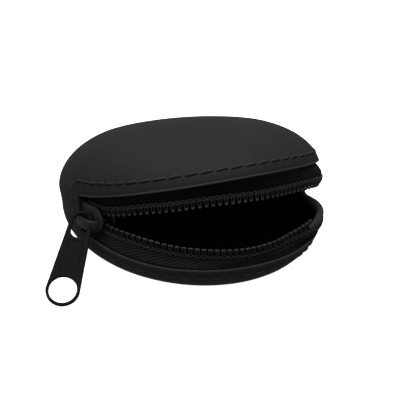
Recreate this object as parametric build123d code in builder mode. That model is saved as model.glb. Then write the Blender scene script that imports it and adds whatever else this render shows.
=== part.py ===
from build123d import *
import math
import os

os.makedirs("parts", exist_ok=True)

# ---------------------------------------------------------------- driving dimensions (mm)
R = 40.0            # outer radius of the round purse
ZM = 10.9           # height of the widest point of the bottom shell
RE = 15.0           # how far in from the rim the rounding reaches
HU = 10.9           # height of the top shell's rounding
DOME = 6.0          # how much the top panel is puffed up at its centre
WALL = 1.4          # leather thickness
LINING = 0.4        # lining thickness
OPEN_TILT = 19.0    # tilt of the top shell in the open rest pose, front up
TILT_Y, TILT_Z = 25.7, 4.4      # line about which that tilt is laid out
LIP_Z = 11.05       # bottom lip of the mouth
SLOT_END_Y = -1.0   # the mouth's two ends, just in front of the middle
LIP_END_Z = 21.6    # top lip at the ends of the mouth
LIP_MID_Y, LIP_MID_Z = -32.5, 36.7   # top lip at the front
FOLD_Y0, FOLD_Y1 = -0.5, 4.5    # strip of the top that folds as the front lifts

HINGE_Y, HINGE_Z = 2.3, 13.9    # fold line of the front half of the top
CLOSE = 22.0        # degrees from the open rest pose to zipped shut

TRACK_R = 36.6      # radius of the zip chain
TRACK_Z = 16.0      # height of the zip chain's middle when closed
TAPE_T = 0.5        # tape thickness
TOOTH_PITCH = 3.13  # degrees between coil loops, 2 mm along the chain
TOOTH_H, TOOTH_T, TOOTH_W = 2.15, 2.0, 1.15   # loop height, thickness, length along the chain
TOOTH_IN = 0.6      # from the chain's middle to the loop tips
SLIDER_PSI = -80.0  # slider position from the front, at the open end
TRAVEL = 156.0      # degrees the slider travels round the rim

PLATE_GAP = 2.0     # half the clear height between the slider's plates
PLATE_T = 0.8
RAIL = 0.35
STRAP_GAP = 2.8     # room under the slider's bridge
STRAP_T, STRAP_W = 0.6, 1.0
PULL_LEN = 30.6
PULL_HEAD_R, PULL_HEAD_HOLE = 3.4, 2.6
PULL_HEAD_SLOT = 2.0    # how much longer than wide the head's hole is
PULL_BACK = 2.5     # from the bridge to the head's far edge
PULL_END_R, PULL_RING_R = 5.0, 4.1
PULL_T = 0.8
PULL_ROLL = 20.0    # the pull lies on one edge of its ring


def tilt(y, z, deg, y0, z0):
    """Turns a point of the front-back plane so that the front rises by deg."""
    a = math.radians(deg)
    return (y0 + (y - y0) * math.cos(a) + (z - z0) * math.sin(a),
            z0 - (y - y0) * math.sin(a) + (z - z0) * math.cos(a))


def rim(psi, r, z):
    a = math.radians(psi)
    return (r * math.sin(a), -r * math.cos(a), z)


# ---------------------------------------------------------------- top shell's own tilted frame
top_y, top_z = tilt(0, ZM, OPEN_TILT, TILT_Y, TILT_Z)
ta = math.radians(OPEN_TILT)
top_axis = (0, math.sin(ta), math.cos(ta))
top_plane = Plane(origin=(0, top_y, top_z), x_dir=(1, 0, 0), z_dir=(0, -math.cos(ta), math.sin(ta)))
turn_axis = Axis((0, top_y, top_z), top_axis)


def dome_points(inset, steps=7):
    """Half profile of the top shell, moved in by inset: rim to middle."""
    pts = []
    for i in range(steps + 1):
        a = math.pi / 2 * (1 - i / steps)
        rho = R - RE + (RE - inset) * math.sin(a)
        pts.append((rho, (HU - inset) * math.cos(a) + DOME * (1 - (rho / R) ** 2)))
    for rho in (16.0, 8.0, 0.0):
        pts.append((rho, HU - inset + DOME * (1 - (rho / R) ** 2)))
    return pts


def lip_height(y):
    """Height of the top lip's cutting plane, in front of the mouth's ends."""
    return LIP_END_Z + (SLOT_END_Y - y) * (LIP_MID_Z - LIP_END_Z) / (SLOT_END_Y - LIP_MID_Y)


# ---------------------------------------------------------------- half-spaces used to divide the top
BIG = 60.0
with BuildPart() as front_zone:      # in front of the fold and above the top lip
    with BuildSketch(Plane.YZ.offset(-BIG)):
        with BuildLine():
            Polyline((FOLD_Y0 - 0.3, lip_height(FOLD_Y0 - 0.3)), (-55, lip_height(-55)), (-55, 80),
                     (FOLD_Y0 - 0.3, 80), close=True)
        make_face()
    extrude(amount=2 * BIG)
with BuildPart() as lining_front_zone:      # as above, with a margin for the turned-in lip
    with BuildSketch(Plane.YZ.offset(-BIG)):
        with BuildLine():
            Polyline((FOLD_Y0 - 0.8, lip_height(FOLD_Y0) + 4.2), (-55, lip_height(-55) + 4.2), (-55, 80),
                     (FOLD_Y0 - 0.8, 80), close=True)
        make_face()
    extrude(amount=2 * BIG)
with BuildPart() as fold_zone:
    with BuildSketch(Plane.YZ.offset(-BIG)):
        with BuildLine():
            Polyline((FOLD_Y0, 19.2), (FOLD_Y0, 80), (FOLD_Y1, 80), (FOLD_Y1, 19.2), close=True)
        make_face()
    extrude(amount=2 * BIG)
with BuildPart() as rear_zone:
    with BuildSketch(Plane.YZ.offset(-BIG)):
        with BuildLine():
            Polyline((FOLD_Y1, ZM - 0.5), (FOLD_Y1, 80), (60, 80), (60, ZM - 0.5), close=True)
        make_face()
    extrude(amount=2 * BIG)


def dome_shell(outer, inner):
    """Skin of the tilted top between two insets, all round."""
    with BuildPart() as skin:
        with BuildSketch(top_plane):
            with BuildLine():
                a = dome_points(outer)
                b = dome_points(inner)
                Spline(*a, tangents=((0, 1), (-1, 0)))
                Line(a[-1], b[-1])
                Spline(*b, tangents=((0, 1), (-1, 0)))
                Line(b[0], a[0])
            make_face()
        revolve(axis=turn_axis)
    return skin.part


def bowl_skin(outer, inner, z_top):
    """Skin of the bottom shell between two insets, up to z_top."""
    with BuildPart() as skin:
        with BuildSketch(Plane.XZ):
            with BuildLine():
                Line((0, outer), (R - RE, outer))
                EllipticalCenterArc((R - RE, ZM), RE - outer, ZM - outer, start_angle=270, arc_size=90)
                Line((R - outer, ZM), (R - outer, ZM + 4))
                Line((R - outer, ZM + 4), (R - inner, ZM + 4))
                Line((R - inner, ZM + 4), (R - inner, ZM))
                EllipticalCenterArc((R - RE, ZM), RE - inner, ZM - inner, start_angle=270, arc_size=90)
                Line((R - RE, inner), (0, inner))
                Line((0, inner), (0, outer))
            make_face()
        revolve(axis=Axis.Z)
        with BuildSketch(Plane.XY.offset(z_top)):
            Rectangle(3 * R, 3 * R)
        extrude(amount=20, mode=Mode.SUBTRACT)
    return skin.part


top_leather = dome_shell(0, WALL)
top_cloth = dome_shell(WALL + 0.05, WALL + 0.05 + LINING)

# ---------------------------------------------------------------- leather: bottom shell with rear cover
with BuildPart() as wall_zone:       # the side wall behind the mouth, up to the tilted top's rim
    with BuildSketch(Plane.YZ.offset(-BIG)):
        with BuildLine():
            Polyline((SLOT_END_Y, ZM - 1), (SLOT_END_Y, 18.7), (top_y, 18.7),
                     (24, top_z + (top_y - 24) * math.tan(ta) + 0.6), (30, 15.0), (50, 15.0), (50, ZM - 1), close=True)
        make_face()
    extrude(amount=2 * BIG)
with BuildPart() as side_wall:
    with BuildSketch(Plane.XY.offset(ZM - 0.5)):
        Circle(R)
        Circle(R - WALL, mode=Mode.SUBTRACT)
    extrude(amount=20)
    add(wall_zone.part, mode=Mode.INTERSECT)
bowl = bowl_skin(0, WALL, LIP_Z)
rear_cover = top_leather & rear_zone.part
with BuildPart() as body_shell:
    add(bowl)
    add(side_wall.part)
    add(rear_cover)

# ---------------------------------------------------------------- leather: fold strip and lifting front
top_fold = top_leather & fold_zone.part
lid_shell = top_leather & front_zone.part
with BuildPart() as body_lining:
    add(bowl_skin(WALL + 0.05, WALL + 0.05 + LINING, 8.4))
with BuildPart() as rear_lining:
    with BuildSketch(Plane.YZ.offset(-BIG)):
        with BuildLine():
            Polyline((FOLD_Y1 + 0.5, ZM + 2.5), (FOLD_Y1 + 0.5, 80), (60, 80), (60, ZM + 2.5), close=True)
        make_face()
    extrude(amount=2 * BIG)
    with BuildSketch(Plane.XY):
        Circle(R - WALL - 0.1)
    extrude(amount=BIG, mode=Mode.INTERSECT)
rear_lining_part = top_cloth & rear_lining.part
lid_lining = top_cloth & lining_front_zone.part


# ---------------------------------------------------------------- zip tapes
def tape_ring(points, psi_from, psi_to):
    """Tape revolved about Z between two angles from the front; points are (radius, height)."""
    with BuildPart() as tape:
        base = Plane(origin=(0, 0, 0), x_dir=rim(psi_from, 1, 0), z_dir=(
            math.sin(math.radians(psi_from - 90)), -math.cos(math.radians(psi_from - 90)), 0))
        with BuildSketch(base):
            with BuildLine():
                Polyline(*points, close=True)
            make_face()
        revolve(axis=Axis.Z, revolution_arc=psi_to - psi_from)
    return tape.part


h = TAPE_T / 2
EDGE = TOOTH_IN + TOOTH_H + 0.05     # from the chain's middle to the tape's edge
lower_pts = [(TRACK_R - h, TRACK_Z - EDGE), (TRACK_R + h, TRACK_Z - EDGE), (TRACK_R + h, 11.5), (38.0, 9.6),
             (37.5, 9.4), (TRACK_R - h, 11.3)]
upper_pts = [(TRACK_R - h, TRACK_Z + EDGE), (TRACK_R + h, TRACK_Z + EDGE), (TRACK_R + h, 20.4), (35.4, 22.6),
             (34.95, 22.35), (TRACK_R - h, 20.2)]
lower_zip_tape = tape_ring(lower_pts, -86.5, 86.5)
upper_end_tape = tape_ring([(TRACK_R - h, TRACK_Z + EDGE), (TRACK_R + h, TRACK_Z + EDGE), (TRACK_R + h, 20.6),
                            (TRACK_R - h, 20.6)], -86.5, -71.0)
upper_zip_tape = tape_ring(upper_pts, -69.6, 86.5)


# ---------------------------------------------------------------- coil loops
def coil_row(sign, psi_from, count):
    """Loops of one coil, tips towards the chain's middle; sign is -1 under it and +1 over it."""
    z0 = TRACK_Z + sign * (TOOTH_IN + TOOTH_H / 2)
    with BuildPart() as row:
        places = []
        for i in range(count):
            psi = psi_from + i * TOOTH_PITCH
            places.append(Plane(origin=rim(psi, TRACK_R, z0), x_dir=(math.cos(math.radians(psi)), math.sin(math.radians(psi)), 0),
                                z_dir=rim(psi, 1, 0)))
        for place in places:
            with BuildSketch(place.offset(-TOOTH_T / 2)):
                RectangleRounded(TOOTH_W, TOOTH_H, 0.5)
            extrude(amount=TOOTH_T)
    return row.part


lower_coil = coil_row(-1, -84.0, 53)
upper_coil_end = coil_row(1, -84.0 + TOOTH_PITCH / 2, 4)
upper_coil = coil_row(1, -84.0 + TOOTH_PITCH * 5.5, 47)

# sewing thread that holds each coil on its tape, a flat cord on the coil's inner side
thread_pts = lambda z: [(TRACK_R - 1.35, z - 0.25), (TRACK_R - 1.05, z - 0.25), (TRACK_R - 1.05, z + 0.25), (TRACK_R - 1.35, z + 0.25)]
lower_coil_thread = tape_ring(thread_pts(TRACK_Z - EDGE + 0.5), -84.5, 79.5)
upper_coil_thread = tape_ring(thread_pts(TRACK_Z + EDGE - 0.5), -67.5, 79.5)


def stop_block(psi, z_low, z_high, width):
    with BuildPart() as block:
        place = Plane(origin=rim(psi, TRACK_R - 1.25, (z_low + z_high) / 2), x_dir=(math.cos(math.radians(psi)), math.sin(math.radians(psi)), 0),
                      z_dir=rim(psi, 1, 0))
        with BuildSketch(place):
            RectangleRounded(width, z_high - z_low, 0.4)
        extrude(amount=2.5)
    return block.part


zip_bottom_stop = stop_block(-88.3, TRACK_Z - 2.7, TRACK_Z + 2.7, 1.5)
lower_top_stop = stop_block(88.3, TRACK_Z - 2.9, TRACK_Z - 0.3, 1.6)
upper_top_stop = stop_block(88.3, TRACK_Z + 0.3, TRACK_Z + 2.9, 1.6)

# ---------------------------------------------------------------- slider
slider_o = rim(SLIDER_PSI, TRACK_R, TRACK_Z)
sa = math.radians(SLIDER_PSI)
along = (math.cos(sa), math.sin(sa), 0)
slider_plane = Plane(origin=slider_o, x_dir=along, z_dir=rim(SLIDER_PSI, 1, 0))


def slider_outline(grow=0.0):
    with BuildSketch() as outline:
        with BuildLine():
            Line((-4.6 + grow, 3.1 - grow), (1.6, 3.6 - grow))
            ThreePointArc((1.6, 3.6 - grow), (4.8 - grow, 0), (1.6, -3.6 + grow))
            Line((1.6, -3.6 + grow), (-4.6 + grow, -3.1 + grow))
            Line((-4.6 + grow, -3.1 + grow), (-4.6 + grow, 3.1 - grow))
        make_face()
    return outline.sketch


full_outline = slider_outline()
with BuildPart() as slider_body:
    for side in (1, -1):
        low = PLATE_GAP if side > 0 else -PLATE_GAP - PLATE_T
        with BuildSketch(slider_plane.offset(low)):
            add(full_outline)
        extrude(amount=PLATE_T)
        # rails along the top and bottom edges hold the coils in
        rail_low = PLATE_GAP - RAIL if side > 0 else -PLATE_GAP
        for edge in (1, -1):
            with BuildSketch(slider_plane.offset(rail_low)):
                with BuildLine():
                    Polyline((-4.6, edge * 3.1), (1.6, edge * 3.6), (1.6, edge * 3.05), (-4.6, edge * 2.95), close=True)
                make_face()
            extrude(amount=RAIL)
    # the diamond joins the plates between the two coils at the wide end
    with BuildSketch(slider_plane.offset(-PLATE_GAP)):
        with Locations((3.1, 0)):
            SlotOverall(2.0, 0.8)
    extrude(amount=2 * PLATE_GAP)

bridge_n = PLATE_GAP + PLATE_T
bridge_plane = Plane(origin=rim(SLIDER_PSI, TRACK_R, TRACK_Z - STRAP_W / 2), x_dir=along, z_dir=(0, 0, 1))
# in this plane x runs along the chain and y points inward, so outward is negative y
with BuildPart() as slider_bridge:
    with BuildSketch(bridge_plane):
        with BuildLine():
            top = -(bridge_n + STRAP_GAP + STRAP_T)
            under = -(bridge_n + STRAP_GAP)
            foot = -(bridge_n + 0.02)
            Polyline((-4.6, foot), (-4.6, top + 0.9), (-3.7, top), (3.7, top), (4.6, top + 0.9), (4.6, foot), (3.9, foot),
                     (3.9, under + 0.5), (3.4, under), (-3.4, under), (-3.9, under + 0.5), (-3.9, foot), close=True)
        make_face()
    extrude(amount=STRAP_W)

# ---------------------------------------------------------------- pull
strap_n = bridge_n + STRAP_GAP + STRAP_T / 2
pivot = Vector(*rim(SLIDER_PSI, TRACK_R + strap_n, TRACK_Z)) - Vector(*along) * 1.0
HEAD_X, HEAD_Y = -0.58, -0.8146     # way the pull points, seen from above
reach = PULL_LEN - PULL_BACK        # from the bridge to the pull's tip
end_y = -(reach - PULL_END_R)
slope = math.radians(30)
for _ in range(40):     # slope at which the ring's edge comes to rest on the ground
    down = Vector(HEAD_X * math.cos(slope), HEAD_Y * math.cos(slope), -math.sin(slope))
    flat = Vector(-HEAD_Y, HEAD_X, 0)
    face = flat.cross(down * -1)
    roll = math.radians(PULL_ROLL)
    across = flat * math.cos(roll) - face * math.sin(roll)
    normal = face * math.cos(roll) + flat * math.sin(roll)
    low = TRACK_Z + end_y * math.sin(slope) - PULL_END_R * math.hypot(down.Z, across.Z) - PULL_T / 2 * abs(normal.Z)
    slope += (low - 0.02) / reach
pull_plane = Plane(origin=pivot, x_dir=across, z_dir=normal)
head_y = -(PULL_HEAD_R - PULL_BACK)
with BuildPart() as pull_tab:
    with BuildSketch(pull_plane.offset(-PULL_T / 2)):
        with Locations((0, head_y)):
            Circle(PULL_HEAD_R)
        with Locations((0, end_y)):
            Circle(PULL_END_R)
        make_hull()
        with Locations((0, head_y - PULL_HEAD_SLOT / 2)):
            SlotCenterToCenter(PULL_HEAD_SLOT, 2 * PULL_HEAD_HOLE, rotation=90, mode=Mode.SUBTRACT)
        with Locations((0, end_y)):
            Circle(PULL_RING_R, mode=Mode.SUBTRACT)
    extrude(amount=PULL_T)
    # shallow panel between the two holes, on both faces
    for height in (PULL_T / 2 - 0.15, -PULL_T / 2):
        with BuildSketch(pull_plane.offset(height)):
            with BuildLine():
                Polyline((-2.35, -7.0), (2.35, -7.0), (3.3, end_y + 6.2), (-3.3, end_y + 6.2), close=True)
            make_face()
        extrude(amount=0.15, mode=Mode.SUBTRACT)

# ---------------------------------------------------------------- stitches
with BuildPart() as lower_stitching:
    r_st = R - RE + RE * math.sqrt(1 - ((ZM - 7.9) / ZM) ** 2)
    lean = math.degrees(math.atan2((ZM - 7.9) / ZM ** 2, (r_st - (R - RE)) / RE ** 2))
    for i in range(25):
        psi = -78 + i * 6.5
        n = Vector(*rim(psi, math.cos(math.radians(lean)), -math.sin(math.radians(lean))))
        place = Plane(origin=Vector(*rim(psi, r_st, 7.9)) + n * 0.12, x_dir=(math.cos(math.radians(psi)), math.sin(math.radians(psi)), 0), z_dir=n)
        with BuildSketch(place):
            RectangleRounded(3.2, 0.6, 0.28)
        extrude(amount=0.35)


def top_surface(psi, a):
    """Point and outward normal of the tilted top at rim angle psi and rounding angle a."""
    rho = R - RE + RE * math.sin(a)
    zl = HU * math.cos(a) + DOME * (1 - (rho / R) ** 2)
    dr, dz = RE * math.cos(a), -HU * math.sin(a) - DOME * 2 * rho / R ** 2 * RE * math.cos(a)
    nr, nz = -dz, dr
    m = math.hypot(nr, nz)
    nr, nz = nr / m, nz / m
    p = math.radians(psi)
    y, z = tilt(-rho * math.cos(p), ZM + zl, OPEN_TILT, TILT_Y, TILT_Z)
    ny, nz2 = tilt(-nr * math.cos(p), nz, OPEN_TILT, 0, 0)
    return Vector(rho * math.sin(p), y, z), Vector(nr * math.sin(p), ny, nz2)


def lip_angle(psi):
    """Rounding angle at which the surface meets the lip's cutting plane."""
    lo, hi = 0.0, math.pi / 2
    for _ in range(50):
        mid = (lo + hi) / 2
        p, _n = top_surface(psi, mid)
        if p.Z > lip_height(p.Y):
            lo = mid
        else:
            hi = mid
    return lo


def above_lip(psi, distance):
    """Rounding angle a given distance up the surface from the lip."""
    a = lip_angle(psi)
    p, _n = top_surface(psi, a)
    while distance > 0 and a > 0.02:
        a -= 0.01
        q, _n = top_surface(psi, a)
        distance -= (q - p).length
        p = q
    return a


with BuildPart() as lid_stitching:
    for i in range(25):
        psi = -78 + i * 6.5
        a = above_lip(psi, 4.0)
        p, n = top_surface(psi, a)
        q, _n = top_surface(psi + 1.0, above_lip(psi + 1.0, 4.0))
        if p.Y > FOLD_Y0 - 2.2:
            continue
        x = q - p
        x = x - n * x.dot(n)
        with BuildSketch(Plane(origin=p + n * 0.1, x_dir=x, z_dir=n)):
            RectangleRounded(3.2, 0.6, 0.28)
        extrude(amount=0.35)

# ---------------------------------------------------------------- lift the front's zip half with the lid
# the upper tape, coil, thread and stop are laid out shut; the rest pose is open
lift_axis = Axis((0, HINGE_Y, HINGE_Z), (-1, 0, 0))
upper_zip_tape = upper_zip_tape.rotate(lift_axis, CLOSE)
upper_coil = upper_coil.rotate(lift_axis, CLOSE)
upper_coil_thread = upper_coil_thread.rotate(lift_axis, CLOSE)
upper_top_stop = upper_top_stop.rotate(lift_axis, CLOSE)

pieces = {
    "body_shell": body_shell.part,
    "top_fold": top_fold,
    "lid_shell": lid_shell,
    "body_lining": body_lining.part,
    "rear_lining": rear_lining_part,
    "lid_lining": lid_lining,
    "lower_stitching": lower_stitching.part,
    "lid_stitching": lid_stitching.part,
    "lower_zip_tape": lower_zip_tape,
    "upper_zip_tape": upper_zip_tape,
    "upper_tape_end": upper_end_tape,
    "lower_coil": lower_coil,
    "upper_coil": upper_coil,
    "upper_coil_end": upper_coil_end,
    "lower_coil_thread": lower_coil_thread,
    "upper_coil_thread": upper_coil_thread,
    "zip_bottom_stop": zip_bottom_stop,
    "lower_top_stop": lower_top_stop,
    "upper_top_stop": upper_top_stop,
    "slider_body": slider_body.part,
    "slider_bridge": slider_bridge.part,
    "pull_tab": pull_tab.part,
}
for name, part in pieces.items():
    part.label = name
    export_step(part, "parts/" + name + ".step")

ring_c = pull_plane.from_local_coords(Vector(0, end_y, 0))
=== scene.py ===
import math

import bmesh
import bpy
from mathutils import Matrix, Vector, noise


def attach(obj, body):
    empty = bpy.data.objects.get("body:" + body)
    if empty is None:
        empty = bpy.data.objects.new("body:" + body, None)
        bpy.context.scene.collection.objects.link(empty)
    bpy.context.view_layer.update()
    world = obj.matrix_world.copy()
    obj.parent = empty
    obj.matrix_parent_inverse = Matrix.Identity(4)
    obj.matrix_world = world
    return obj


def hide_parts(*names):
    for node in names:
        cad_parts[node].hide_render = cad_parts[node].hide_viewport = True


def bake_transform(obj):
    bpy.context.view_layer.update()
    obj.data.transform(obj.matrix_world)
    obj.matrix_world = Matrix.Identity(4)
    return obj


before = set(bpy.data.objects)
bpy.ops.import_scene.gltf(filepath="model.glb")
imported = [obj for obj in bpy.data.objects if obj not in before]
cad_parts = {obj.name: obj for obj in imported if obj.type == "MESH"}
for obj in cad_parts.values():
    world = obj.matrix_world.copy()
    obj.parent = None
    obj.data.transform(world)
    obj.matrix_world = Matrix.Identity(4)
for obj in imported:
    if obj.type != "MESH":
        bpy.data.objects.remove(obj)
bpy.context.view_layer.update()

MM = 0.001
rad = math.radians


# ------------------------------------------------------------------ helpers
def clamp(x, a=0.0, b=1.0):
    return max(a, min(b, x))


def smooth(x):
    x = clamp(x)
    return x * x * (3 - 2 * x)


def lerp(a, b, t):
    return a + (b - a) * t


def add_mesh(name, verts, faces, smooth_shade=True):
    me = bpy.data.meshes.new(name)
    me.from_pydata([(v[0] * MM, v[1] * MM, v[2] * MM) for v in verts], [], faces)
    me.update()
    ob = bpy.data.objects.new(name, me)
    bpy.context.scene.collection.objects.link(ob)
    me.polygons.foreach_set("use_smooth", [smooth_shade] * len(me.polygons))
    return ob


def apply_mods(ob, *mods):
    for kind, props in mods:
        m = ob.modifiers.new(kind, kind)
        for k, v in props.items():
            setattr(m, k, v)
    dg = bpy.context.evaluated_depsgraph_get()
    me = bpy.data.meshes.new_from_object(ob.evaluated_get(dg))
    ob.modifiers.clear()
    old = ob.data
    ob.data = me
    bpy.data.meshes.remove(old)
    me.polygons.foreach_set("use_smooth", [True] * len(me.polygons))
    return ob


class Build:
    """Collects vertices and faces of one piece."""

    def __init__(self):
        self.v, self.f = [], []

    def grid(self, rows, wrap=False, flip=False):
        n = len(rows[0])
        base = len(self.v)
        for r in rows:
            self.v.extend(r)
        for i in range(len(rows) - 1):
            for j in range(n if wrap else n - 1):
                a = base + i * n + j
                b = base + i * n + (j + 1) % n
                c, d = a + n, b + n
                self.f.append((a, b, d, c) if flip else (a, c, d, b))

    def tube(self, path, radius, sides=8, flat=1.0, up=None, taper=0.0, closed=False, widths=None):
        """Tube along a list of points; flat squashes it along up; taper rounds its ends."""
        pts = [Vector(p) for p in path]
        n = len(pts)
        rows = []
        for i, p in enumerate(pts):
            if closed:
                t = pts[(i + 1) % n] - pts[i - 1]
            else:
                t = pts[min(i + 1, n - 1)] - pts[max(i - 1, 0)]
            t.normalize()
            u = Vector(up[i] if isinstance(up, list) else (up or (0, 0, 1)))
            s = t.cross(u)
            if s.length < 1e-6:
                s = t.cross(Vector((1, 0, 0)))
            s.normalize()
            u = s.cross(t).normalized()
            k = 1.0
            if taper and not closed:
                e = min(i, n - 1 - i) / max(1, n - 1)
                k = clamp(math.sqrt(clamp(e / taper + 0.12)), 0.3, 1.0)
            r = radius * k * (widths[i] if widths else 1.0)
            rows.append([tuple(p + s * (math.cos(2 * math.pi * q / sides) * r) + u * (math.sin(2 * math.pi * q / sides) * r * flat))
                         for q in range(sides)])
        if closed:
            rows.append(rows[0])
        base = len(self.v)
        self.grid(rows, wrap=True, flip=True)
        if not closed:
            self.f.append(tuple(base + q for q in range(sides)))
            last = base + (len(rows) - 1) * sides
            self.f.append(tuple(last + q for q in range(sides))[::-1])

    def make(self, name):
        return add_mesh(name, self.v, self.f)


# ------------------------------------------------------------------ shape of the purse (mm)
R, ZM, RE, HU, DOME = 40.0, 10.87, 15.0, 10.92, 6.0
TILT, YH, ZH = rad(19.0), 25.72, 4.42
ZU, SQUEEZE, PSI0 = 11.9, 0.41, rad(82.63)
A_LIP = math.acos((ZU - ZM) / HU)


def tilt(p, m=1.0):
    c, s = math.cos(TILT), math.sin(TILT)
    y, z = p[1] - YH, p[2] - ZH
    q = (p[0], YH + y * c + z * s, ZH - y * s + z * c)
    return tuple(lerp(a, b, m) for a, b in zip(p, q))


def mid(psi):
    x = clamp(psi / PSI0, -1, 1)
    return math.cos(x * math.pi / 2) ** 2


FLARE = ((28, 0.0), (44, 0.5), (56, 1.05), (68, 0.8), (78, 0.15), (84, 0.0))


def top_point(psi, rho, a=None):
    """Point of the top; rho below 25 on the panel, or rounding angle a."""
    if a is not None:
        rho = R - RE + RE * math.sin(a)
        z = HU * math.cos(a)
    else:
        z = HU
        a = 0.0
    if abs(psi) < PSI0:
        z = HU - (HU - z) * (1 - SQUEEZE * mid(psi))
    out = rho + curve(FLARE, math.degrees(psi)) * (smooth((a + 0.3) / 1.6) + 0.35 * math.sin(math.pi * clamp(a / 1.5)))
    p = (out * math.sin(psi), -out * math.cos(psi), ZM + z + DOME * (1 - (rho / R) ** 2))
    s = smooth((abs(math.degrees(psi)) - 118) / 34)
    return tilt(p, 1 - math.sin(a) ** 2 * s)


def curve(table, x):
    """Smooth line through (x, y) pairs."""
    if x <= table[0][0]:
        return table[0][1]
    for i in range(len(table) - 1):
        (x0, y0), (x1, y1) = table[i], table[i + 1]
        if x <= x1:
            xa, ya = table[max(0, i - 1)]
            xb, yb = table[min(len(table) - 1, i + 2)]
            m0 = (y1 - ya) / (x1 - xa)
            m1 = (yb - y0) / (xb - x0)
            t, w = (x - x0) / (x1 - x0), x1 - x0
            return (y0 * (2 * t ** 3 - 3 * t ** 2 + 1) + m0 * w * (t ** 3 - 2 * t ** 2 + t)
                    + y1 * (3 * t ** 2 - 2 * t ** 3) + m1 * w * (t ** 3 - t ** 2))
    return table[-1][1]


LOW_LIP = ((-84, 11.2), (-74, 10.9), (-64, 10.4), (-52, 10.1), (-40, 10.1), (-28, 10.4), (-12, 10.75), (2, 10.9),
           (12, 10.7), (22, 10.3), (32, 9.9), (45, 9.5), (60, 9.4), (84, 9.9))
LIP_LIFT = ((-84, 0.0), (-72, 0.01), (-56, 0.04), (-42, 0.055), (-26, 0.055), (-10, 0.06), (10, 0.07), (30, 0.085), (48, 0.1),
            (62, 0.09), (76, 0.03), (84, 0.0))
LOW_FLARE = ((26, 0.0), (42, 0.5), (55, 1.0), (66, 0.85), (76, 0.25), (84, 0.0))


def lip_a(psi):
    """Rounding angle of the top's cut edge, a little further up on the right."""
    return A_LIP - curve(LIP_LIFT, math.degrees(psi)) * (1 if abs(math.degrees(psi)) < 84 else 0)


def seam_z(psi):
    """Height of the bottom lip in front, of the side seam behind."""
    lip = curve(LOW_LIP, math.degrees(clamp(psi, -PSI0, PSI0)))
    return lerp(lip, ZM, smooth((abs(math.degrees(psi)) - 82.63) / 25))


def low_flare(psi, z):
    """How far the bottom stands out at the right end of its lip."""
    return curve(LOW_FLARE, math.degrees(psi)) * smooth((z - 2.0) / 7.0)


def low_path(psi, z_end):
    pts = []
    for i in range(13):
        a = math.pi / 2 * i / 12
        z = ZM - ZM * math.cos(a)
        if z > z_end:
            break
        pts.append((R - RE + RE * math.sin(a) + low_flare(psi, z), z))
    if z_end > ZM:
        pts.append((R, z_end))
    else:
        a = math.acos((ZM - z_end) / ZM)
        pts.append((R - RE + RE * math.sin(a) + low_flare(psi, z_end), z_end))
    return pts


def resample(pts, n):
    pts = [Vector(p) for p in pts]
    acc = [0.0]
    for i in range(1, len(pts)):
        acc.append(acc[-1] + (pts[i] - pts[i - 1]).length)
    out = []
    k = 0
    for i in range(n):
        s = acc[-1] * i / (n - 1)
        while k < len(acc) - 2 and acc[k + 1] < s:
            k += 1
        t = (s - acc[k]) / max(1e-9, acc[k + 1] - acc[k])
        out.append(tuple(pts[k].lerp(pts[k + 1], clamp(t))))
    return out


def wall_path(psi):
    """From the top's lip level down the side wall to the seam."""
    zs = seam_z(psi)
    end = Vector((R * math.sin(psi), -R * math.cos(psi), zs))
    pts = [top_point(psi, None, lip_a(psi))]
    for i in range(1, 5):
        # behind, the tilted rounding would pass below the seam: it stops short and closes on to it
        p = Vector(top_point(psi, None, lerp(lip_a(psi), math.pi / 2, i / 4)))
        k = smooth((p.z - zs) / 0.9)
        pts.append((lerp(end.x, p.x, k), lerp(end.y, p.y, k), max(p.z, zs + 0.3 * (1 - i / 4))))
    last = Vector(pts[-1])
    for i in range(1, 9):
        q = last.lerp(end, i / 8)
        pts.append(tuple(q))
    return pts


# ------------------------------------------------------------------ how the front folds down
AX_Y, AX_Z, SHUT = 2.3, 13.9, 22.0
B0, B1 = 5.0, 50.0


ZIP_B0, ZIP_B1 = -8.0, 54.0


def weight(p, b0=B0, b1=B1):
    return smooth(((-p[1] + p[2]) * 0.70711 - b0) / (b1 - b0))


def turn(p, deg):
    c, s = math.cos(rad(deg)), math.sin(rad(deg))
    y, z = p[1] - AX_Y, p[2] - AX_Z
    return (p[0], AX_Y + y * c - z * s, AX_Z + y * s + z * c)


def shut(p):
    return turn(p, SHUT * weight(p, ZIP_B0, ZIP_B1))


def opened(q):
    p = q
    for _ in range(30):
        p = turn(q, -SHUT * weight(p, ZIP_B0, ZIP_B1))
    return p


def rides(ob, how, *nodes, slot=None):
    if nodes:
        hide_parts(*nodes)
    if how in ("blend", "zip"):
        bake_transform(ob)
    else:
        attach(ob, how)


# ------------------------------------------------------------------ materials
def new_mat(name, color, rough, spec=0.5, coat=0.0, coat_rough=0.3, sheen=0.0, metallic=0.0):
    m = bpy.data.materials.new(name)
    m.use_nodes = True
    b = m.node_tree.nodes["Principled BSDF"]
    b.inputs["Base Color"].default_value = (*color, 1)
    b.inputs["Roughness"].default_value = rough
    b.inputs["Specular IOR Level"].default_value = spec
    b.inputs["Coat Weight"].default_value = coat
    b.inputs["Coat Roughness"].default_value = coat_rough
    b.inputs["Sheen Weight"].default_value = sheen
    b.inputs["Metallic"].default_value = metallic
    return m, m.node_tree, b


def node(nt, kind, **props):
    n = nt.nodes.new(kind)
    for k, v in props.items():
        if k in n.inputs:
            n.inputs[k].default_value = v
        else:
            setattr(n, k, v)
    return n


def color_ramp(nt, source, stops):
    r = nt.nodes.new("ShaderNodeValToRGB")
    while len(r.color_ramp.elements) < len(stops):
        r.color_ramp.elements.new(0.5)
    for e, (pos, c) in zip(r.color_ramp.elements, stops):
        e.position = pos
        e.color = (*c, 1) if len(c) == 3 else c
    nt.links.new(source, r.inputs["Fac"])
    return r


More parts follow.
